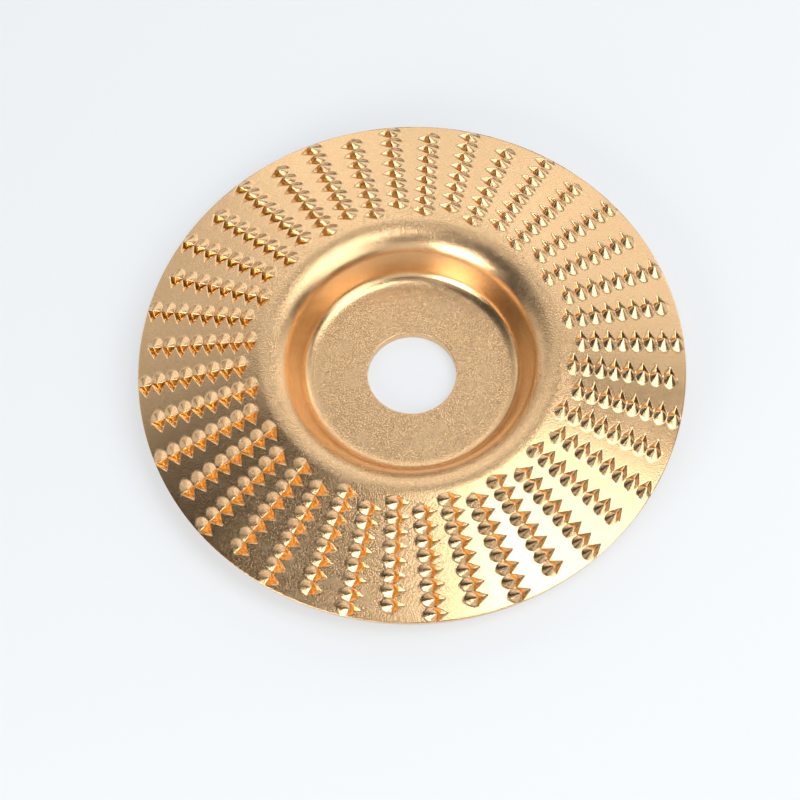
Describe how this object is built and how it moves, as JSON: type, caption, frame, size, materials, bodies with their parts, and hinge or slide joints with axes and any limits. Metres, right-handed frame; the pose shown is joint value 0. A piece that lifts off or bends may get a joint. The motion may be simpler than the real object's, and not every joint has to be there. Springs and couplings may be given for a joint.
{
  "type": "angle grinder carving disc",
  "caption": "Dished, gold-coated steel disc with a plain round bore and radial rows of pointed rasp teeth on a shallow cone, for shaping wood on a small angle grinder.",
  "frame": {"origin": "centre of the bore at the hub's back face, which is the lowest face", "axes": "+Z along the spindle axis towards the toothed side; +X through the middle of tooth_row_01"},
  "size_m": [0.098, 0.098, 0.0113],
  "materials": {
    "hub_coat": "gold-coloured coating on fine blasted steel",
    "sheet_coat": "gold-coloured coating on satin pressed steel",
    "tooth_coat": "gold-coloured coating on punched steel"
  },
  "bodies": {
    "root": {"hub_plate": "hub_coat", "dish_wall": "sheet_coat", "crown_ring": "sheet_coat", "rasp_flange": "sheet_coat", "tooth_row_01": "tooth_coat", "tooth_row_02": "tooth_coat", "tooth_row_03": "tooth_coat", "tooth_row_04": "tooth_coat", "tooth_row_05": "tooth_coat", "tooth_row_06": "tooth_coat", "tooth_row_07": "tooth_coat", "tooth_row_08": "tooth_coat", "tooth_row_09": "tooth_coat", "tooth_row_10": "tooth_coat", "tooth_row_11": "tooth_coat", "tooth_row_12": "tooth_coat", "tooth_row_13": "tooth_coat", "tooth_row_14": "tooth_coat", "tooth_row_15": "tooth_coat", "tooth_row_16": "tooth_coat", "tooth_row_17": "tooth_coat", "tooth_row_18": "tooth_coat", "tooth_row_19": "tooth_coat", "tooth_row_20": "tooth_coat", "tooth_row_21": "tooth_coat", "tooth_row_22": "tooth_coat", "tooth_row_23": "tooth_coat", "tooth_row_24": "tooth_coat", "tooth_row_25": "tooth_coat", "tooth_row_26": "tooth_coat", "tooth_row_27": "tooth_coat", "tooth_row_28": "tooth_coat", "tooth_row_29": "tooth_coat", "tooth_row_30": "tooth_coat", "tooth_row_31": "tooth_coat", "tooth_row_32": "tooth_coat", "tooth_row_33": "tooth_coat", "tooth_row_34": "tooth_coat", "tooth_row_35": "tooth_coat", "tooth_row_36": "tooth_coat", "tooth_row_37": "tooth_coat", "tooth_row_38": "tooth_coat", "tooth_row_39": "tooth_coat", "tooth_row_40": "tooth_coat"}
  },
  "joints": []
}
